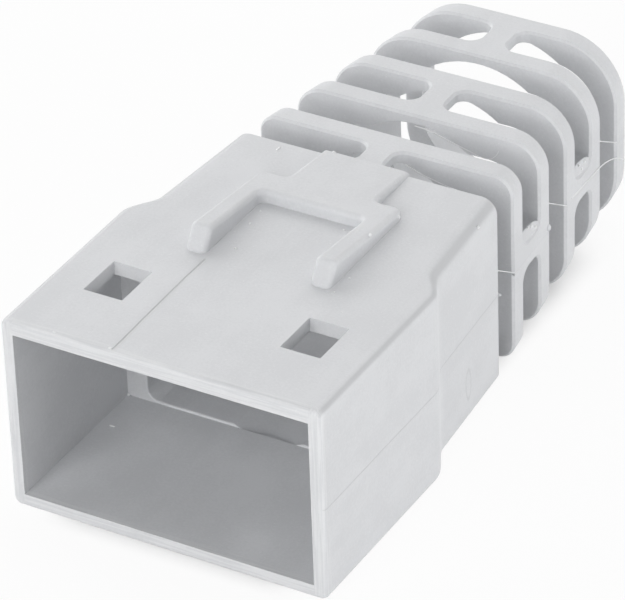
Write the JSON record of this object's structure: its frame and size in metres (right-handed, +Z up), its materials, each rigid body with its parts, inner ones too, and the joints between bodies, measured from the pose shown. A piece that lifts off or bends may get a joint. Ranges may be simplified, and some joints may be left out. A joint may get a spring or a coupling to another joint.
{
  "type": "cable sleeve",
  "caption": "Moulded strain-relief sleeve for a modular network plug: an open box-shaped hood with latch windows and a latch guard, and a tapering tail of slotted rings for the cable.",
  "frame": {"origin": "middle of the flat underside, halfway along the whole length", "axes": "+Y from the open mouth to the tail, +Z up through the latch guard, +X to the right of someone who looks into the mouth"},
  "size_m": [0.0132, 0.0276, 0.009],
  "materials": {
    "sleeve_plastic": "light grey soft plastic with a fine satin moulded surface"
  },
  "bodies": {
    "root": {"cable_sleeve": "sleeve_plastic"}
  },
  "joints": []
}
